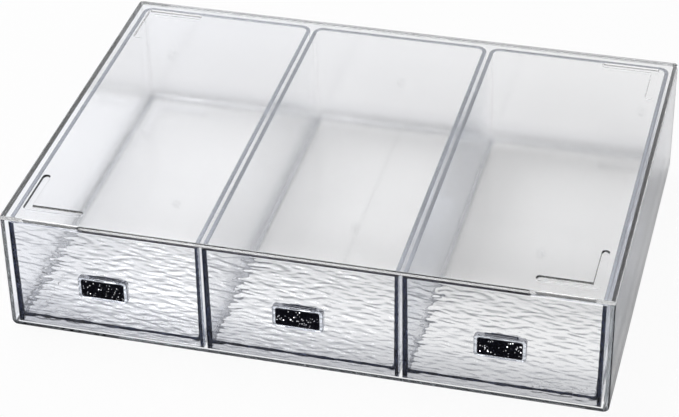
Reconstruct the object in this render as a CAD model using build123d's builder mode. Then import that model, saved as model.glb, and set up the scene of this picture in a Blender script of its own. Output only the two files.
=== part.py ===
"""Clear desktop organizer: a moulded case with a bonded top plate and three sliding drawers.

Millimetres. +Z is up, the drawers open towards -Y, and the origin is on the table surface
under the middle of the overall box, knobs included.
"""

import os
from math import radians, tan

from build123d import *

# Case
CASE_WIDTH = 280.0
CASE_DEPTH = 200.0
CASE_HEIGHT = 61.5  # from the case's underside to the top of its plate, without the feet
CASE_WALL = 2.2
CASE_FLOOR = 2.2
CASE_EDGE_RADIUS = 2.8  # the long lower edges and the lower back edge
CASE_CORNER_RADIUS = 2.0  # the two upright back corners
CASE_LIP_RADIUS = 0.8  # outer edge of the open front
TOP_THICKNESS = 2.2
TOP_EDGE_RADIUS = 0.6
TOP_SEAM_RADIUS = 0.6  # lower edge, along the bond
BOND_LINE = 0.05  # where two pieces are bonded

# Stacking corners: L-shaped grooves in the top take the L-shaped feet of the unit above
GROOVE_WIDTH = 3.8
GROOVE_LEG = 28.5
GROOVE_DEPTH = 1.3
GROOVE_DRAFT = 10.0  # degrees, the groove's sides lean out towards the top
GROOVE_INSET = 7.9  # from the outside of the case to the outside of the groove
FOOT_HEIGHT = 1.0
FOOT_CLEARANCE = 0.3  # between a foot and the sides of the groove that it drops into

# Drawers, named from left to right as seen from the front
DRAWER_NAMES = ("left", "middle", "right")
SIDE_GAP = 1.5  # drawer to case wall
DRAWER_GAP = 1.6  # drawer to drawer
TOP_GAP = 0.7  # drawer rim to top plate
BACK_GAP = 0.8  # drawer to case back
RUN_GAP = 0.1  # runner to case floor
TRAY_WALL = 2.0
TRAY_FLOOR = 1.6
TRAY_CORNER_RADIUS = 5.0
TRAY_FILLET = 1.6  # inside, where the walls meet the floor
TRAY_DRAFT = 0.5  # degrees, inside faces
RIM_RADIUS = 0.6
RUNNER_HEIGHT = 3.0  # the walls run on below the tray's floor
FRONT_THICKNESS = 2.6
FRONT_EDGE_RADIUS = 0.6

# Guides on the case floor keep the drawers in their lanes
GUIDE_GAP = 0.5
GUIDE_HEIGHT = 4.0
GUIDE_SETBACK = 5.0  # behind the case's front edge
GUIDE_LEAD_IN = 3.0

# Knobs
KNOB_WIDTH = 23.6
KNOB_HEIGHT = 11.8
KNOB_PLATE = 3.0
KNOB_CORNER_RADIUS = 2.0
KNOB_EDGE_RADIUS = 0.6
KNOB_RISE = 0.75  # knob centre above the middle of the drawer front
NECK_WIDTH = 14.0
NECK_HEIGHT = 8.0
NECK_DEPTH = 2.0
STEM_WIDTH = 10.0
STEM_HEIGHT = 4.6
STEM_SLIT = 1.4  # parts the stem into two springy prongs
STEM_CLEARANCE = 0.15
BARB_HEIGHT = 0.7
BARB_LENGTH = 1.6
BARB_GAP = 0.05
INLAY_WIDTH = 20.3
INLAY_HEIGHT = 9.1
INLAY_THICKNESS = 0.8
INLAY_RECESS = 0.2  # the inlay's face lies this far inside the knob's
INLAY_CLEARANCE = 0.1
INLAY_CORNER_RADIUS = 1.0

# Moulding marks
GATE_RADIUS = 2.4  # round dimple with the gate's stub in its middle
GATE_DEPTH = 0.4
GATE_STUB_RADIUS = 0.9
CASE_GATE_SPREAD = 124.0  # the two outer gates on the back, from its middle
CENTRE_LINE_WIDTH = 0.7  # fine line along the middle of the case floor
CENTRE_LINE_DEPTH = 0.5
CENTRE_LINE_MARGIN = 8.0

# Depths along Y
KNOB_PROTRUSION = NECK_DEPTH + KNOB_PLATE
FRONT_Y = KNOB_PROTRUSION / 2 - CASE_DEPTH / 2
BACK_Y = FRONT_Y + CASE_DEPTH
CASE_MID_Y = (FRONT_Y + BACK_Y) / 2
TRAY_FRONT_Y = FRONT_Y + FRONT_THICKNESS + BOND_LINE
TRAY_BACK_Y = BACK_Y - CASE_WALL - BACK_GAP
TRAY_LENGTH = TRAY_BACK_Y - TRAY_FRONT_Y
TRAY_MID_Y = (TRAY_FRONT_Y + TRAY_BACK_Y) / 2
KNOB_FACE_Y = FRONT_Y - KNOB_PROTRUSION

# Heights along Z
PLATE_Z = FOOT_HEIGHT + CASE_HEIGHT - TOP_THICKNESS
WALL_TOP_Z = PLATE_Z - BOND_LINE
FLOOR_Z = FOOT_HEIGHT + CASE_FLOOR
RUNNER_Z = FLOOR_Z + RUN_GAP
RIM_Z = PLATE_Z - TOP_GAP
TRAY_FLOOR_Z = RUNNER_Z + RUNNER_HEIGHT + TRAY_FLOOR
DRAWER_HEIGHT = RIM_Z - RUNNER_Z
KNOB_Z = (RUNNER_Z + RIM_Z) / 2 + KNOB_RISE

# Widths along X
BAY_WIDTH = CASE_WIDTH - 2 * CASE_WALL
DRAWER_COUNT = len(DRAWER_NAMES)
DRAWER_WIDTH = (BAY_WIDTH - 2 * SIDE_GAP - (DRAWER_COUNT - 1) * DRAWER_GAP) / DRAWER_COUNT
DRAWER_PITCH = DRAWER_WIDTH + DRAWER_GAP
DRAWER_X = [DRAWER_PITCH * (i - (DRAWER_COUNT - 1) / 2) for i in range(DRAWER_COUNT)]
TOUCH = 1e-3  # tolerance for picking edges by their place


def front_plane(y):
    """Upright plane at depth y, facing the user, with +X to the right and +Z up."""
    return Plane.XZ.offset(-y)


def corner_ells(width):
    """Four L shapes with round ends, one in each corner of the case, about one centre line."""
    half_x = CASE_WIDTH / 2 - GROOVE_INSET - GROOVE_WIDTH / 2
    half_y = CASE_DEPTH / 2 - GROOVE_INSET - GROOVE_WIDTH / 2
    leg = GROOVE_LEG - GROOVE_WIDTH  # between the centres of a leg's two round ends
    with BuildSketch() as ells:
        for side_x in (-1, 1):
            for side_y in (-1, 1):
                corner = (side_x * half_x, CASE_MID_Y + side_y * half_y)
                with Locations((corner[0] - side_x * leg / 2, corner[1])):
                    SlotCenterToCenter(leg, width)
                with Locations((corner[0], corner[1] - side_y * leg / 2)):
                    SlotCenterToCenter(leg, width, rotation=90)
    return ells.sketch


def case_plan():
    """Outline of the case seen from above, with its two back corners rounded."""
    with BuildSketch() as plan:
        with Locations((0, CASE_MID_Y)):
            Rectangle(CASE_WIDTH, CASE_DEPTH)
        fillet(plan.vertices().group_by(Axis.Y)[-1], CASE_CORNER_RADIUS)
    return plan.sketch


def tray_plan(x, inset, overshoot):
    """Outline of a tray seen from above, taken in by inset and run on past its open front."""
    width = DRAWER_WIDTH - 2 * inset
    length = TRAY_LENGTH - inset + overshoot
    with BuildSketch() as plan:
        with Locations((x, TRAY_BACK_Y - inset - length / 2)):
            Rectangle(width, length)
        fillet(plan.vertices().group_by(Axis.Y)[-1], TRAY_CORNER_RADIUS - inset)
    return plan.sketch


def save(part, name):
    """Labels a finished piece and writes it as one STEP file."""
    part.label = name
    export_step(part, f"parts/{name}.step")


os.makedirs("parts", exist_ok=True)

# Case body: floor, two sides and back in one moulding, open at the front and the top
with BuildPart() as case_body:
    with BuildSketch(Plane.XY.offset(FOOT_HEIGHT)):
        add(case_plan())
    extrude(amount=WALL_TOP_Z - FOOT_HEIGHT)
    underside = case_body.faces().sort_by(Axis.Z)[0]
    front_edge = underside.edges().sort_by(Axis.Y)[0]
    fillet([e for e in underside.edges() if e != front_edge], CASE_EDGE_RADIUS)
    bay_length = CASE_DEPTH - CASE_WALL
    with BuildSketch(Plane.XY.offset(FLOOR_Z)):
        with Locations((0, FRONT_Y + bay_length / 2)):
            Rectangle(BAY_WIDTH, bay_length)
    extrude(amount=WALL_TOP_Z - FLOOR_Z, mode=Mode.SUBTRACT)
    front_face = case_body.faces().sort_by(Axis.Y)[0]
    outer_x = CASE_WIDTH / 2 - CASE_WALL / 2
    lip = [e for e in front_face.edges() if e.center().Z < FLOOR_Z - TOUCH or abs(e.center().X) > outer_x]
    fillet(lip, CASE_LIP_RADIUS)

    # Guides: one beside each outer wall, and one between each two drawers
    side_guide = SIDE_GAP - GUIDE_GAP
    middle_guide = DRAWER_GAP - 2 * GUIDE_GAP
    guide_length = bay_length - GUIDE_SETBACK
    guides = [((BAY_WIDTH - side_guide) / 2 * side, side_guide) for side in (-1, 1)]
    guides += [(x + DRAWER_PITCH / 2, middle_guide) for x in DRAWER_X[:-1]]
    for guide_x, guide_width in guides:
        with BuildSketch(Plane.YZ.offset(guide_x)) as guide_side:
            with BuildLine():
                start = FRONT_Y + GUIDE_SETBACK
                Polyline(
                    (start, FLOOR_Z),
                    (start + GUIDE_LEAD_IN, FLOOR_Z + GUIDE_HEIGHT),
                    (start + guide_length, FLOOR_Z + GUIDE_HEIGHT),
                    (start + guide_length, FLOOR_Z),
                    close=True,
                )
            make_face()
        extrude(amount=guide_width / 2, both=True)

    # Fine line along the middle of the floor
    with BuildSketch(Plane.XY.offset(FLOOR_Z)):
        with Locations((0, CASE_MID_Y)):
            Rectangle(CENTRE_LINE_WIDTH, CASE_DEPTH - 2 * CENTRE_LINE_MARGIN)
    extrude(amount=-CENTRE_LINE_DEPTH, mode=Mode.SUBTRACT)

    # Gate dimples in the back, each round its own stub
    with BuildSketch(front_plane(BACK_Y)):
        for gate_x in (-CASE_GATE_SPREAD, 0, CASE_GATE_SPREAD):
            with Locations((gate_x, FOOT_HEIGHT + CASE_HEIGHT / 2)):
                Circle(GATE_RADIUS)
                Circle(GATE_STUB_RADIUS, mode=Mode.SUBTRACT)
    extrude(amount=GATE_DEPTH, mode=Mode.SUBTRACT)

    # Stacking feet under the floor
    with BuildSketch():
        add(corner_ells(GROOVE_WIDTH - 2 * FOOT_CLEARANCE))
    extrude(amount=FOOT_HEIGHT)
save(case_body.part, "case_body")

# Top plate: flat, bonded on the upper ends of the walls, with the stacking grooves
with BuildPart() as top_plate:
    with BuildSketch(Plane.XY.offset(PLATE_Z)):
        add(case_plan())
    extrude(amount=TOP_THICKNESS)
    fillet(top_plate.faces().sort_by(Axis.Z)[-1].edges(), TOP_EDGE_RADIUS)
    fillet(top_plate.faces().sort_by(Axis.Z)[0].edges(), TOP_SEAM_RADIUS)
    with BuildSketch(Plane.XY.offset(PLATE_Z + TOP_THICKNESS)):
        add(corner_ells(GROOVE_WIDTH))
    extrude(amount=-GROOVE_DEPTH, taper=GROOVE_DRAFT, mode=Mode.SUBTRACT)
save(top_plate.part, "top_plate")

for side, drawer_x in zip(DRAWER_NAMES, DRAWER_X):
    # Tray: drafted box with rounded back corners, closed by the front panel, on two long runners
    with BuildPart() as tray:
        with BuildSketch(Plane.XY.offset(RUNNER_Z)):
            add(tray_plan(drawer_x, 0, 0))
        extrude(amount=DRAWER_HEIGHT)
        with BuildSketch(Plane.XY.offset(RIM_Z)):
            add(tray_plan(drawer_x, TRAY_WALL, FRONT_THICKNESS))
        extrude(amount=TRAY_FLOOR_Z - RIM_Z, taper=TRAY_DRAFT, mode=Mode.SUBTRACT)
        inside_floor = tray.faces().filter_by(Axis.Z).filter_by_position(
            Axis.Z, TRAY_FLOOR_Z - TOUCH, TRAY_FLOOR_Z + TOUCH
        )
        seam = [e for e in inside_floor.edges() if e.center().Y > TRAY_FRONT_Y + TOUCH]
        fillet(seam, TRAY_FILLET)
        rim = tray.faces().filter_by(Axis.Z).sort_by(Axis.Z)[-1]
        fillet([e for e in rim.edges() if e.center().Y > TRAY_FRONT_Y + TOUCH], RIM_RADIUS)
        with BuildSketch(Plane.XY.offset(RUNNER_Z)):
            add(tray_plan(drawer_x, TRAY_WALL, 0))
        extrude(amount=RUNNER_HEIGHT, mode=Mode.SUBTRACT)
        with BuildSketch(Plane.XY.offset(RUNNER_Z + RUNNER_HEIGHT)):
            with Locations((drawer_x, TRAY_MID_Y)):
                Circle(GATE_RADIUS)
                Circle(GATE_STUB_RADIUS, mode=Mode.SUBTRACT)
        extrude(amount=GATE_DEPTH, mode=Mode.SUBTRACT)
    save(tray.part, f"drawer_tray_{side}")

    # Front panel: closes the tray and carries the knob in a slot
    with BuildPart() as front:
        with BuildSketch(front_plane(FRONT_Y)):
            with Locations((drawer_x, (RUNNER_Z + RIM_Z) / 2)):
                Rectangle(DRAWER_WIDTH, DRAWER_HEIGHT)
        extrude(amount=-FRONT_THICKNESS)
        fillet(front.faces().sort_by(Axis.Y)[0].edges(), FRONT_EDGE_RADIUS)
        with BuildSketch(front_plane(FRONT_Y)):
            with Locations((drawer_x, KNOB_Z)):
                Rectangle(STEM_WIDTH + 2 * STEM_CLEARANCE, STEM_HEIGHT + 2 * STEM_CLEARANCE)
        extrude(amount=-FRONT_THICKNESS, mode=Mode.SUBTRACT)
    save(front.part, f"drawer_front_{side}")

    # Knob: plate on a neck, with a split stem that snaps through the front panel
    with BuildPart() as knob:
        with BuildSketch(front_plane(KNOB_FACE_Y)):
            with Locations((drawer_x, KNOB_Z)):
                RectangleRounded(KNOB_WIDTH, KNOB_HEIGHT, KNOB_CORNER_RADIUS)
        extrude(amount=-KNOB_PLATE)
        plate_ends = knob.faces().sort_by(Axis.Y)
        fillet(plate_ends[0].edges() + plate_ends[-1].edges(), KNOB_EDGE_RADIUS)
        with BuildSketch(front_plane(FRONT_Y)):
            with Locations((drawer_x, KNOB_Z)):
                Rectangle(NECK_WIDTH, NECK_HEIGHT)
        extrude(amount=NECK_DEPTH)
        panel_back = FRONT_THICKNESS + BARB_GAP
        with BuildSketch(Plane.YZ.offset(drawer_x)) as stem_side:
            with BuildLine():
                half = STEM_HEIGHT / 2
                Polyline(
                    (FRONT_Y, KNOB_Z),
                    (FRONT_Y, KNOB_Z + half),
                    (FRONT_Y + panel_back, KNOB_Z + half),
                    (FRONT_Y + panel_back, KNOB_Z + half + BARB_HEIGHT),
                    (FRONT_Y + panel_back + BARB_LENGTH, KNOB_Z + half - BARB_HEIGHT),
                    (FRONT_Y + panel_back + BARB_LENGTH, KNOB_Z),
                    close=True,
                )
            make_face()
            mirror(about=Plane.XZ.offset(-KNOB_Z))
            with Locations((FRONT_Y + (panel_back + BARB_LENGTH) / 2, KNOB_Z)):
                Rectangle(panel_back + BARB_LENGTH, STEM_SLIT, mode=Mode.SUBTRACT)
        extrude(amount=STEM_WIDTH / 2, both=True)
        with BuildSketch(front_plane(KNOB_FACE_Y)):
            with Locations((drawer_x, KNOB_Z)):
                RectangleRounded(
                    INLAY_WIDTH + 2 * INLAY_CLEARANCE,
                    INLAY_HEIGHT + 2 * INLAY_CLEARANCE,
                    INLAY_CORNER_RADIUS + INLAY_CLEARANCE,
                )
        extrude(amount=-(INLAY_RECESS + INLAY_THICKNESS + BOND_LINE), mode=Mode.SUBTRACT)
    save(knob.part, f"knob_{side}")

    # Inlay: dark glitter plate in the knob's face
    with BuildPart() as inlay:
        with BuildSketch(front_plane(KNOB_FACE_Y + INLAY_RECESS)):
            with Locations((drawer_x, KNOB_Z)):
                RectangleRounded(INLAY_WIDTH, INLAY_HEIGHT, INLAY_CORNER_RADIUS)
        extrude(amount=-INLAY_THICKNESS)
    save(inlay.part, f"knob_inlay_{side}")
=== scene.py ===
"""Dresses the clear desktop organizer: clear plastics, rippled drawer fronts and glitter inlays."""

import math
import random

import bmesh
import bpy
from mathutils import Matrix, Vector, noise


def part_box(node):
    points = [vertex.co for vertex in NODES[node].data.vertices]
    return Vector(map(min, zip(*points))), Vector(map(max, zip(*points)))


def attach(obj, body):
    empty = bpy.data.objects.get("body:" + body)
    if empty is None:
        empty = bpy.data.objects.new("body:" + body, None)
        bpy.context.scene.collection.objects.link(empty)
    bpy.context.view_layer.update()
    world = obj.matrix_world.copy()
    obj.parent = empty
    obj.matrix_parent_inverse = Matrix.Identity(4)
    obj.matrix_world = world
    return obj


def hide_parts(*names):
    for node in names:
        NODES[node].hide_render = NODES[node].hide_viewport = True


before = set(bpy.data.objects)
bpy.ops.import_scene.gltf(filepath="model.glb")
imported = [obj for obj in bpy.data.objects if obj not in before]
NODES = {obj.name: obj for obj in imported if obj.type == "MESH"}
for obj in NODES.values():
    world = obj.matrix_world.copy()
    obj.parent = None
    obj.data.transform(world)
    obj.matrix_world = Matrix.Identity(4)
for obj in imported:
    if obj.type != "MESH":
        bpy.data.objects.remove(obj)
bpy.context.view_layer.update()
DRAWERS = ("left", "middle", "right")
MM = 0.001
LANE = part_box("drawer_tray_right")[0].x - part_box("drawer_tray_middle")[0].x
SLOT_INSET = 5 * MM  # a front's points this far inside its outline belong to the knob's slot

# Camera, fitted to the corners of the case in the photo
CAMERA_AT = (0.22838, -0.87243, 0.65340)
CAMERA_AIM = (0.01472, -0.08136, 0.08020)
CAMERA_ROLL = math.radians(-1.128)
CAMERA_LENS = 121.091
CAMERA_SENSOR = 36
CAMERA_NEAR = 0.01

# Ripple on the drawer fronts
RIPPLE_HEIGHT = 0.26 * MM
RIPPLE_ROOM = 1.05  # times the height, from the CAD face to the ripple's middle
RIPPLE_CALM = 2 * MM  # it dies out over this border
RIPPLE_STEP_X = 0.8 * MM
RIPPLE_STEP_Z = 0.4 * MM
RIPPLE_TILT = 0.04
# Noises: weight, lengths along the width and the height in mm, and seed
DRIFT_X = (2.0, 9.0, 4.0, 2.2)
DRIFT_Z = (0.8, 8.0, 4.0, 5.3)
RIPPLE_WAVES = ((1.2, 5.0, 1.3, 1.7), (0.35, 2.8, 0.85, 8.1), (0.5, 16.0, 4.5, 4.4))
FRONT_EDGE = 0.6 * MM  # radius of the outside edge
EDGE_STEPS = 4
SHARP = math.radians(50)
TINY = 1e-7

# Foil flakes on the knobs' inlays: sizes in mm, angles in radians
FLAKES = 48
FLAKE_SIDES = 6
FLAKE_SIZES = (0.12, 0.16, 0.2, 0.24, 0.28)
FLAKE_LEAN = (0.42, 0.7)
FLAKE_TURN = 0.4
FLAKE_LIFT = 0.7  # share of a tipped flake's reach that its middle stands before the inlay
FLAKE_BORDER = 0.6 * MM
FLAKE_SEED = 11

# Clear plastic
PLASTIC_IOR = 1.5
WAVE_SCALE = 35.0
WAVE_DETAIL = 2.0
WAVE_DEPTH = 0.4 * MM
GLOSS_LOW, GLOSS_HIGH = 0.5, 1.5  # times the roughness
SHADOW_BLEND = 0.35
SHADOW_VEIL = ((0, (0.95, 0.95, 0.95)), (1, (0.25, 0.25, 0.25)))
FLAT_POWER = 8.0
CLEAR = (1, 1, 1)
GREY = (0.4, 0.42, 0.44)
NAVY = (0.12, 0.2, 0.38)


class Graph:
    """An emptied node tree, with short calls to add and link its nodes."""

    def __init__(self, owner):
        owner.use_nodes = True
        self.nodes = owner.node_tree.nodes
        self.links = owner.node_tree.links
        self.nodes.clear()

    def add(self, kind, inputs=None, **settings):
        """A node whose inputs are set to constants or linked to other nodes' outputs."""
        node = self.nodes.new(f"ShaderNode{kind}")
        for name, value in settings.items():
            setattr(node, name, value)
        for key, value in (inputs or {}).items():
            if isinstance(value, bpy.types.NodeSocket):
                self.links.new(value, node.inputs[key])
            else:
                node.inputs[key].default_value = value
        return node

    def calc(self, operation, *values):
        return self.add("Math", dict(enumerate(values)), operation=operation).outputs[0]

    def split(self, vector):
        return self.add("SeparateXYZ", {"Vector": vector}).outputs

    def spread(self, value, low, high):
        """The value from low to high as 0 to 1."""
        inputs = {"Value": value, "From Min": low, "From Max": high}
        return self.add("MapRange", inputs).outputs["Result"]

    def ramp(self, level, stops):
        node = self.add("ValToRGB", {"Fac": level})
        elements = node.color_ramp.elements
        while len(elements) < len(stops):
            elements.new(0.5)
        for element, (position, colour) in zip(elements, stops):
            element.position = position
            element.color = (*colour, 1)
        return node.outputs["Color"]

    def greys(self, value, low, high, stops):
        """Grey levels at places along an axis from low to high."""
        stops = [((place - low) / (high - low), (level, level, level)) for place, level in stops]
        return self.ramp(self.spread(value, low, high), stops)

    def mix(self, share, first, second):
        return self.add("MixShader", {"Fac": share, 1: first, 2: second}).outputs["Shader"]


def paint_shade(graph, coord, axis, stops, fades=(), flat_clear=False):
    """Painted shade from the surface's own normal: the stops of a ramp over one axis of it from -1
    to 1.

    A fade is a push towards one end of the ramp and the places, along an axis from and to, over
    which it grows: X is the distance from the middle plane, lane that from a drawer's middle.
    flat_clear keeps faces square to the axis at the clear end.
    """
    lean = graph.split(coord["Normal"])[axis]
    if flat_clear:
        level = graph.calc("POWER", graph.calc("ABSOLUTE", lean), FLAT_POWER)
    else:
        level = graph.spread(lean, -1.0, 1.0)
    for push, *places in fades:
        share = None
        for along, start, stop in places:
            spot = graph.split(coord["Object"])["X" if along == "lane" else along]
            if along == "X":
                spot = graph.calc("ABSOLUTE", spot)
            elif along == "lane":
                spot = graph.calc("PINGPONG", spot, LANE / 2)
            reach = graph.spread(spot, start, stop)
            share = graph.calc("MULTIPLY", share, reach) if share else reach
        level = graph.calc("MULTIPLY_ADD", share, push, level)
    return graph.ramp(level, [((lean_at + 1) / 2, shade) for lean_at, shade in stops])


def clear_plastic(name, absorb, density, roughness, waviness, gleam, painted_shades):
    """Clear plastic: a faint mould waviness, a little uneven gloss, and colour along a long path.

    Painted shade greys the slopes, rounded edges and ends that turn the light away.
    """
    mat = bpy.data.materials.new(name)
    graph = Graph(mat)
    coord = graph.add("TexCoord").outputs
    waves = graph.add(
        "TexNoise", {"Vector": coord["Object"], "Scale": WAVE_SCALE, "Detail": WAVE_DETAIL}
    ).outputs["Fac"]
    colour = None
    for shading in painted_shades:
        layer = paint_shade(graph, coord, *shading)
        if colour:
            both = graph.add("VectorMath", {0: colour, 1: layer}, operation="MULTIPLY")
            layer = both.outputs[0]
        colour = layer
    gloss = graph.add(
        "MapRange",
        {
            "Value": waves,
            "To Min": roughness * GLOSS_LOW,
            "To Max": roughness * GLOSS_HIGH,
        },
    )
    bump = graph.add("Bump", {"Strength": waviness, "Distance": WAVE_DEPTH, "Height": waves})
    bsdf = graph.add(
        "BsdfPrincipled",
        {
            "Base Color": colour,
            "Roughness": gloss.outputs["Result"],
            "Normal": bump.outputs["Normal"],
            "Transmission Weight": 1.0,
            "IOR": PLASTIC_IOR,
            "Specular Tint": (gleam, gleam, gleam, 1),
        },
    )
    facing = graph.add("LayerWeight", {"Blend": SHADOW_BLEND}).outputs["Facing"]
    through = graph.add("BsdfTransparent", {"Color": graph.ramp(facing, SHADOW_VEIL)})
    shadow = graph.add("LightPath").outputs["Is Shadow Ray"]
    volume = graph.add("VolumeAbsorption", {"Color": (*absorb, 1), "Density": density})
    graph.add(
        "OutputMaterial",
        {
            "Surface": graph.mix(shadow, bsdf.outputs["BSDF"], through.outputs["BSDF"]),
            "Volume": volume.outputs["Volume"],
        },
    )
    return mat


def speckled(name, scale, stops, roughness, metallic):
    """A gloss whose colour changes from one small cell to the next."""
    mat = bpy.data.materials.new(name)
    graph = Graph(mat)
    coord = graph.add("TexCoord").outputs["Object"]
    cells = graph.add("TexVoronoi", {"Vector": coord, "Scale": scale}).outputs["Color"]
    bsdf = graph.add(
        "BsdfPrincipled",
        {"Base Color": graph.ramp(cells, stops), "Roughness": roughness, "Metallic": metallic},
    )
    graph.add("OutputMaterial", {"Surface": bsdf.outputs["BSDF"]})
    return mat


def wave(u, v, weight, length_u, length_v, seed):
    return weight * noise.noise(Vector((u / length_u, v / length_v, seed)))


def ripple(x, z):
    """Height of the water ripple, -1 to 1, at a place on a front in metres from its middle."""
    u, v = x / MM, z / MM
    u += wave(u, v, *DRIFT_X)
    v += wave(u, v, *DRIFT_Z) + RIPPLE_TILT * u
    return max(-1.0, min(1.0, sum(wave(u, v, *layer) for layer in RIPPLE_WAVES)))


def lines(low, high, step, keep):
    """Grid lines from low to high, about step apart, that pass through every value in keep."""
    stops = [low, *sorted(keep), high]
    out = [low]
    for a, b in zip(stops, stops[1:]):
        n = max(1, round((b - a) / step))
        out += [a + (b - a) * i / n for i in range(1, n)] + [b]
    return out


def slot_of(side):
    """The corners of the knob's slot, read from the hole in its drawer front's CAD node."""
    low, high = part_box(f"drawer_front_{side}")
    points = [
        v.co for v in NODES[f"drawer_front_{side}"].data.vertices
        if low.x + SLOT_INSET < v.co.x < high.x - SLOT_INSET
        and low.z + SLOT_INSET < v.co.z < high.z - SLOT_INSET
    ]
    return (
        Vector(min(p[a] for p in points) for a in range(3)),
        Vector(max(p[a] for p in points) for a in range(3)),
    )


def make_piece(bm, name, material):
    """An object from a bmesh, which is freed."""
    mesh = bpy.data.meshes.new(name)
    bm.to_mesh(mesh)
    bm.free()
    piece = bpy.data.objects.new(name, mesh)
    bpy.context.scene.collection.objects.link(piece)
    mesh.materials.append(material)
    return piece


def rippled_front(side, material):
    """A drawer front with the ripple as real relief outside, and the knob's slot through it."""
    low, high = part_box(f"drawer_front_{side}")
    slot_low, slot_high = slot_of(side)
    mid_x, mid_z = (low.x + high.x) / 2, (low.z + high.z) / 2
    edge = FRONT_EDGE
    xs = lines(low.x + edge, high.x - edge, RIPPLE_STEP_X, [slot_low.x, slot_high.x])
    zs = lines(low.z + edge, high.z - edge, RIPPLE_STEP_Z, [slot_low.z, slot_high.z])
    last_i, last_k = len(xs) - 1, len(zs) - 1
    face_y = low.y + RIPPLE_HEIGHT * RIPPLE_ROOM
    bm = bmesh.new()

    def fade(value, a, b):
        return min(1.0, (value - a) / RIPPLE_CALM, (b - value) / RIPPLE_CALM)

    def in_slot(i, k):
        return (
            slot_low.x - TINY <= xs[i] and xs[i + 1] <= slot_high.x + TINY
            and slot_low.z - TINY <= zs[k] and zs[k + 1] <= slot_high.z + TINY
        )

    grid = {}
    for i, x in enumerate(xs):
        for k, z in enumerate(zs):
            calm = max(0.0, min(fade(x, xs[0], xs[-1]), fade(z, zs[0], zs[-1])))
            y = face_y - RIPPLE_HEIGHT * calm * ripple(x - mid_x, z - mid_z)
            grid[i, k] = bm.verts.new((x, y, z))
    for i in range(last_i):
        for k in range(last_k):
            if not in_slot(i, k):
                corners = (i, k), (i + 1, k), (i + 1, k + 1), (i, k + 1)
                bm.faces.new([grid[p] for p in corners])
    # Rounded edge of the outside face, then the straight sides
    loop = [(i, 0) for i in range(last_i)] + [(last_i, k) for k in range(last_k)]
    loop += [(i, last_k) for i in range(last_i, 0, -1)] + [(0, k) for k in range(last_k, 0, -1)]

    def band(front, rear):
        for a in range(len(loop)):
            b = (a + 1) % len(loop)
            bm.faces.new((front[b], front[a], rear[a], rear[b]))

    previous = [grid[p] for p in loop]
    for step in range(1, EDGE_STEPS + 1):
        angle = step / EDGE_STEPS * math.pi / 2
        reach, drop = edge * math.sin(angle), edge * (1 - math.cos(angle))
        ring = []
        for i, k in loop:
            x = xs[i] + (-reach if i == 0 else reach if i == last_i else 0)
            z = zs[k] + (-reach if k == 0 else reach if k == last_k else 0)
            ring.append(bm.verts.new((x, face_y + drop, z)))
        band(previous, ring)
        previous = ring
    back = [bm.verts.new((v.co.x, high.y, v.co.z)) for v in previous]
    band(previous, back)
    # Sides of the slot, then the flat back round it
    slot_xz = (
        (slot_low.x, slot_low.z),
        (slot_high.x, slot_low.z),
        (slot_high.x, slot_high.z),
        (slot_low.x, slot_high.z),
    )
    corners = [bm.verts.new((x, high.y, z)) for x, z in slot_xz]
    i0, i1 = xs.index(slot_low.x), xs.index(slot_high.x)
    k0, k1 = zs.index(slot_low.z), zs.index(slot_high.z)
    sides = (
        [grid[i, k0] for i in range(i0, i1 + 1)],
        [grid[i1, k] for k in range(k0, k1 + 1)],
        [grid[i, k1] for i in range(i1, i0 - 1, -1)],
        [grid[i0, k] for k in range(k1, k0 - 1, -1)],
    )
    ends = [loop.index(p) for p in ((0, 0), (last_i, 0), (last_i, last_k), (0, last_k))]
    for n, run in enumerate(sides):
        bm.faces.new([*run, corners[(n + 1) % 4], corners[n]])
    for n in range(4):
        start, stop = ends[n], ends[(n + 1) % 4] or len(loop)
        run = [back[a % len(loop)] for a in range(start, stop + 1)]
        bm.faces.new([*run, corners[(n + 1) % 4], corners[n]])
    bmesh.ops.recalc_face_normals(bm, faces=bm.faces)
    piece = make_piece(bm, f"rippled_front_{side}", material)
    piece.data.shade_smooth()
    piece.data.set_sharp_from_angle(angle=SHARP)
    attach(piece, f"drawer_{side}")
    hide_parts(f"drawer_front_{side}")


def flakes(side, material, seed):
    """Loose bright flakes on an inlay: small six-sided foils, each tipped its own way."""
    rng = random.Random(seed)
    low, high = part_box(f"knob_inlay_{side}")
    bm = bmesh.new()
    for _ in range(FLAKES):
        size = rng.choice(FLAKE_SIZES) * MM
        lean = rng.uniform(*FLAKE_LEAN)
        x = rng.uniform(low.x + FLAKE_BORDER, high.x - FLAKE_BORDER)
        z = rng.uniform(low.z + FLAKE_BORDER, high.z - FLAKE_BORDER)
        turn = rng.uniform(-FLAKE_TURN, FLAKE_TURN)
        centre = Vector((x, low.y - FLAKE_LIFT * size * math.sin(lean), z))
        tip = Matrix.Rotation(-lean, 3, "X") @ Matrix.Rotation(turn, 3, "Z")
        angles = [math.radians(360 / FLAKE_SIDES * n) for n in range(FLAKE_SIDES)]
        rim = [Vector((size * math.cos(a), 0, size * math.sin(a))) for a in angles]
        bm.faces.new([bm.verts.new(centre + tip @ point) for point in rim])
    piece = make_piece(bm, f"inlay_flakes_{side}", material)
    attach(piece, f"drawer_{side}")


def dress(node, material):
    mesh = NODES[node].data
    mesh.materials.clear()
    mesh.materials.append(material)


# Painted shades: an axis of the normal, its stops, and fades. Places are in metres.
GROOVE_DARK = (0.01, 0.01, 0.012)
GROOVE_FAINT = (0.3, 0.3, 0.31)
WALL_DARK = (0.12, 0.123, 0.13)
FLOOR_GREY = (0.2, 0.205, 0.215)
# Painted navy shade for the trays' front ends and rims
END_NAVY_SHADE = (0.01, 0.013, 0.03)
RIM_NAVY_SHADE = (0.28, 0.3, 0.345)
KNOB_COOL = (0.85, 0.88, 0.93)
NECK_SHADOW_DARK = (0.01, 0.012, 0.025)
PAST_GROOVES = ("X", 0.1335, 0.134)
BEHIND_FRONT_GROOVES = ("Y", -0.05, -0.045)
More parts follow.
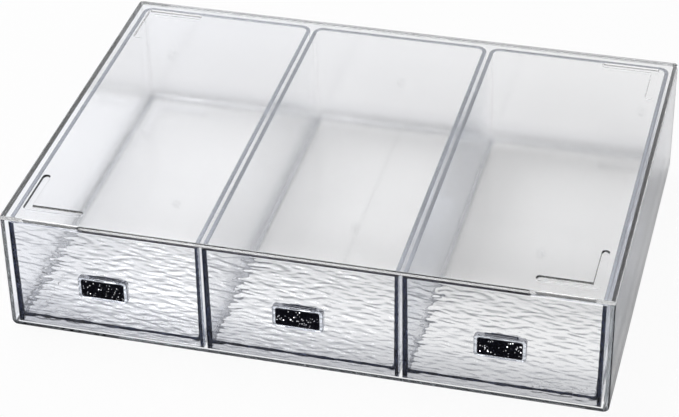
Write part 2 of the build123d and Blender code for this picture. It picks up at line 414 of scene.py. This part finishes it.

# Top plate: painted shade, dark on the rounded front edge away from the grooves and on the far
# sides of the front grooves
TOP_EDGE = (
    "Y",
    [
        (-1, CLEAR),
        (-0.993, CLEAR),
        (-0.987, (0.003, 0.003, 0.004)),
        (-0.6, (0.01, 0.01, 0.011)),
        (-0.45, CLEAR),
    ],
    (
        (1.0, ("Y", -0.05, -0.02)),
        (1.0, ("X", 0.1025, 0.1035), ("Y", -0.096, -0.0965)),
        (1.0, ("Y", -0.0955, -0.095), ("Z", 0.0616, 0.0614)),
    ),
)
# Top plate: painted shade on the front grooves' sides, dark where they face right and faint where
# they face left
GROOVE_RIGHT = (
    "X",
    [(0.4, CLEAR), (0.6, GROOVE_DARK), (1, GROOVE_DARK)],
    ((-1.0, PAST_GROOVES), (-1.0, BEHIND_FRONT_GROOVES)),
)
GROOVE_LEFT = (
    "X",
    [(-1, GROOVE_FAINT), (-0.6, GROOVE_FAINT), (-0.4, CLEAR)],
    ((1.0, PAST_GROOVES), (1.0, BEHIND_FRONT_GROOVES)),
)
# Case: painted shade on the top ends of the side walls, the rounded lip of the open front, and the
# floor's front end
WALL_END = (
    "Z",
    [(0.2, CLEAR), (0.5, WALL_DARK), (1, WALL_DARK)],
    ((-1.0, ("X", 0.1375, 0.1365)),),
)
CASE_LIP = (
    "Y",
    [
        (-1, CLEAR),
        (-0.97, CLEAR),
        (-0.92, (0.04, 0.042, 0.045)),
        (-0.25, (0.08, 0.082, 0.086)),
        (-0.1, CLEAR),
    ],
    ((1.0, ("Y", -0.0955, -0.095)),),
)
FLOOR_END = (
    "Y",
    [(-1, FLOOR_GREY), (-0.9, FLOOR_GREY), (-0.7, CLEAR)],
    ((1.0, ("Y", -0.0955, -0.095)), (1.0, ("Z", 0.0034, 0.004))),
)
# Trays: painted shade, greying the walls towards the rounded foot, dark navy on the front ends of
# walls and floor, and navy-grey on the rims
TRAY_FOOT = (
    "Z",
    [
        (-1, (0.5, 0.505, 0.52)),
        (-0.85, (0.68, 0.685, 0.695)),
        (-0.7, (0.92, 0.922, 0.93)),
        (-0.4, (0.99, 0.99, 0.991)),
        (0.2, CLEAR),
    ],
    ((1.0, ("Z", 0.006, 0.05)),),
    True,
)
TRAY_END = (
    "Y",
    [(-1, END_NAVY_SHADE), (-0.5, END_NAVY_SHADE), (-0.4, CLEAR)],
    ((1.0, ("Y", -0.0945, -0.094)), (1.0, ("lane", 0.0426, 0.0421), ("Z", 0.008, 0.0083))),
)
TRAY_RIM = (
    "Z",
    [(0.1, CLEAR), (0.3, RIM_NAVY_SHADE), (1, RIM_NAVY_SHADE)],
    ((-1.0, ("Z", 0.0588, 0.058)),),
)
# Drawer fronts: painted shade on the ripple's downward slopes, a painted dark line along the upper
# edge away from the grooves, and a greyer foot
FRONT_SLOPES = (
    "Z",
    [
        (-0.25, (0.26, 0.27, 0.29)),
        (-0.09, (0.62, 0.63, 0.65)),
        (0.0, (0.95, 0.953, 0.958)),
        (0.06, CLEAR),
    ],
)
FRONT_TOP = (
    "Z",
    [(0.3, CLEAR), (0.4, (0.002, 0.002, 0.004))],
    ((-1.0, ("X", 0.103, 0.104)),),
)
FRONT_FOOT = (
    "Y",
    [
        (-1, (0.6, 0.605, 0.625)),
        (-0.69, (0.66, 0.665, 0.685)),
        (-0.31, (0.72, 0.725, 0.74)),
        (0, (0.78, 0.785, 0.8)),
        (0.23, (0.86, 0.863, 0.875)),
        (0.62, (0.96, 0.961, 0.965)),
        (1, CLEAR),
    ],
    ((1.0, ("Z", 0.004, 0.03)),),
)
# Knobs: a faint cool tint on the plate's front, painted shade on its rounded edges and sides, and a
# painted shadow over the neck
KNOB_EDGE = (
    "Y",
    [
        (-1, KNOB_COOL),
        (-0.97, KNOB_COOL),
        (-0.9, (0.3, 0.31, 0.34)),
        (-0.3, (0.25, 0.26, 0.29)),
        (0.02, (0.4, 0.41, 0.45)),
        (0.1, CLEAR),
    ],
)
# Painted shadow: a dark line on the plate's top face over the neck
KNOB_NECK_SHADOW = (
    "Z",
    [(0.7, CLEAR), (0.85, NECK_SHADOW_DARK), (1, NECK_SHADOW_DARK)],
    ((-1.0, ("lane", 0.0072, 0.0076)), (-1.0, ("Y", -0.1009, -0.1012))),
)

case = clear_plastic(
    "clear_case", absorb=GREY, density=10.0, roughness=0.01, waviness=0.015, gleam=0.3,
    painted_shades=(WALL_END, CASE_LIP, FLOOR_END),
)
# The top's faint haze shows what is near it sharp and what is deep soft
top = clear_plastic(
    "clear_top", absorb=GREY, density=1.0, roughness=0.085, waviness=0.015, gleam=0.12,
    painted_shades=(TOP_EDGE, GROOVE_RIGHT, GROOVE_LEFT),
)
tray = clear_plastic(
    "clear_tray", absorb=NAVY, density=4.5, roughness=0.01, waviness=0.02, gleam=0.4,
    painted_shades=(TRAY_FOOT, TRAY_END, TRAY_RIM),
)
front = clear_plastic(
    "rippled_front", absorb=NAVY, density=12.0, roughness=0.01, waviness=0.02, gleam=0.2,
    painted_shades=(FRONT_SLOPES, FRONT_TOP, FRONT_FOOT),
)
knob = clear_plastic(
    "clear_knob", absorb=GREY, density=8.0, roughness=0.01, waviness=0.02, gleam=0.3,
    painted_shades=(KNOB_EDGE, KNOB_NECK_SHADOW),
)
# Near-black lacquer with a faint deep-blue mottle, and bright foil, each flake a little different
lacquer = speckled(
    "glitter_inlay", scale=2600.0, roughness=0.18, metallic=0.0,
    stops=((0.55, (0.002, 0.002, 0.004)), (1, (0.02, 0.022, 0.04))),
)
foil = speckled(
    "glitter_foil", scale=900.0, roughness=0.15, metallic=1.0,
    stops=((0, (0.75, 0.77, 0.85)), (1, CLEAR)),
)

dress("case_body", case)
dress("top_plate", top)
for number, side in enumerate(DRAWERS):
    dress(f"drawer_tray_{side}", tray)
    dress(f"knob_{side}", knob)
    dress(f"knob_inlay_{side}", lacquer)
    rippled_front(side, front)
    flakes(side, foil, FLAKE_SEED + number)


# Table: its own light is for the camera and for rays through the part. Places are in metres.
TABLE_SIZE = 6
TABLE_WHITE = (0.9, 0.9, 0.9, 1)
OPEN_VIEW = 0.93  # share of its own light where the camera sees it
POOL = ((0.35, CLEAR), (0.7, (0, 0, 0)))  # by distance from the part's middle
# Painted reflection: gloss shows the table darker in front
MIRROR_Y = (-0.12, 0.02)  # what gloss shows of the table, darker in front
MIRROR_STOPS = ((0, (0.05, 0.05, 0.055)), (1, (0.85, 0.85, 0.86)))
# Painted shadow on the table's light just behind the part
BEHIND_Y = (0.09, 0.19)
BEHIND_STOPS = ((0.098, 1.0), (0.105, 0.25), (0.185, 0.7))
# Painted falloff of the table's light from left to right
ACROSS_X = (-0.2, 0.2)
ACROSS_STOPS = (
    (-0.15, 1.0),
    (-0.138, 0.6),
    (-0.09, 0.5),
    (0.0, 0.3),
    (0.09, 0.22),
    (0.118, 0.22),
    (0.136, 0.45),
)
# Painted cool light on the table's left, for rays that are not the camera's
COOL_STOPS = ((0.15, (0.945, 0.957, 1)), (0.7, CLEAR))  # over ACROSS_X
LIFT_Y = (-0.1, 0.11)
LIFT_STOPS = ((-0.05, 0.85), (-0.01, 0.0), (0.095, 0.0), (0.105, 0.72))


def table():
    """White table, whose own light through the part is painted: it falls off from left to right and
    at the back, with a painted shadow just behind the part.
    """
    bpy.ops.mesh.primitive_plane_add(size=TABLE_SIZE, location=(0, 0, 0))
    floor = bpy.context.object
    floor.name = "floor"
    mat = bpy.data.materials.new("floor_white")
    graph = Graph(mat)
    path = graph.add("LightPath").outputs
    place = graph.add("TexCoord").outputs["Object"]
    x, y, _ = graph.split(place)
    white = graph.add("BsdfDiffuse", {"Color": TABLE_WHITE}).outputs["BSDF"]
    mirrored = graph.ramp(graph.spread(y, *MIRROR_Y), MIRROR_STOPS)
    dim = graph.add("BsdfDiffuse", {"Color": mirrored}).outputs["BSDF"]
    cloth = graph.mix(path["Is Glossy Ray"], white, dim)

    reach = graph.add("VectorMath", {0: place}, operation="LENGTH").outputs["Value"]
    pool = graph.ramp(reach, POOL)
    behind = graph.greys(y, *BEHIND_Y, BEHIND_STOPS)
    across = graph.greys(x, *ACROSS_X, ACROSS_STOPS)
    lift = graph.greys(y, *LIFT_Y, LIFT_STOPS)
    shade = graph.add("Mix", {"Factor": lift, "A": across, "B": 1.0}).outputs["Result"]
    near = graph.calc("MULTIPLY", graph.calc("MULTIPLY", behind, shade), pool)
    passed = graph.calc("MULTIPLY", path["Is Transmission Ray"], near)
    seen = graph.calc("MULTIPLY", path["Is Camera Ray"], OPEN_VIEW)
    share = graph.calc("MAXIMUM", seen, passed)

    cool = graph.ramp(graph.spread(x, *ACROSS_X), COOL_STOPS)
    glow = graph.add("Emission", {"Color": cool}).outputs["Emission"]
    plain = graph.add("Emission").outputs["Emission"]
    light = graph.mix(path["Is Camera Ray"], glow, plain)
    graph.add("OutputMaterial", {"Surface": graph.mix(share, cloth, light)})
    floor.data.materials.append(mat)


# Surroundings: a plain grey light, white for the camera. Gloss and glass show white too, and a
# dark band near the horizon.
WORLD_LIGHT = (0.5, 0.51, 0.53, 1)
WORLD_STRENGTH = 0.4
WORLD_WHITE = (1, 1, 1, 1)
WORLD_RISE = ((0.18, (0.12, 0.122, 0.128)), (0.30, CLEAR))  # by the ray's height


def surroundings():
    world = bpy.data.worlds.new("studio")
    bpy.context.scene.world = world
    graph = Graph(world)
    path = graph.add("LightPath").outputs
    lit = graph.add("Background", {"Color": WORLD_LIGHT, "Strength": WORLD_STRENGTH})
    height = graph.split(graph.add("TexCoord").outputs["Generated"])["Z"]
    white = graph.add("Background", {"Color": graph.ramp(height, WORLD_RISE)})
    plain = graph.add("Background", {"Color": WORLD_WHITE})
    shown = graph.calc("MAXIMUM", path["Is Transmission Ray"], path["Is Glossy Ray"])
    light = graph.mix(shown, lit.outputs["Background"], white.outputs["Background"])
    light = graph.mix(path["Is Camera Ray"], light, plain.outputs["Background"])
    graph.add("OutputWorld", {"Surface": light})


# Lamps: name, place, size, watts
LAMPS = (
    ("overhead", (-0.5, 0.35, 1.2), (1.2, 0.9), 12),
    ("front_fill", (0.6, -1.1, 0.9), (0.7, 0.5), 5),
)
LAMP_AIM = Vector((0, 0, 0.03))


def lamps():
    for name, place, size, power in LAMPS:
        data = bpy.data.lights.new(name, "AREA")
        data.shape = "RECTANGLE"
        data.size, data.size_y = size
        data.energy = power
        lamp = bpy.data.objects.new(name, data)
        lamp.location = place
        lamp.rotation_euler = (LAMP_AIM - Vector(place)).to_track_quat("-Z", "Y").to_euler()
        bpy.context.scene.collection.objects.link(lamp)


BOUNCES = 128  # light runs far inside the clear walls
SHADOW_LAYERS = 40
CLAMP = 4.0


def camera_and_view():
    scene = bpy.context.scene
    lens = bpy.data.cameras.new("camera")
    lens.lens = CAMERA_LENS
    lens.sensor_width = CAMERA_SENSOR
    lens.clip_start = CAMERA_NEAR
    camera = bpy.data.objects.new("camera", lens)
    aim = (Vector(CAMERA_AIM) - Vector(CAMERA_AT)).to_track_quat("-Z", "Y").to_matrix()
    turned = (aim @ Matrix.Rotation(CAMERA_ROLL, 3, "Z")).to_4x4()
    camera.matrix_world = Matrix.Translation(CAMERA_AT) @ turned
    scene.collection.objects.link(camera)
    scene.camera = camera
    scene.view_settings.view_transform = "Standard"
    cycles = scene.cycles
    cycles.max_bounces = BOUNCES
    cycles.transmission_bounces = BOUNCES
    cycles.glossy_bounces = BOUNCES
    cycles.transparent_max_bounces = SHADOW_LAYERS
    cycles.sample_clamp_indirect = CLAMP
    cycles.use_denoising = True


table()
surroundings()
lamps()
camera_and_view()
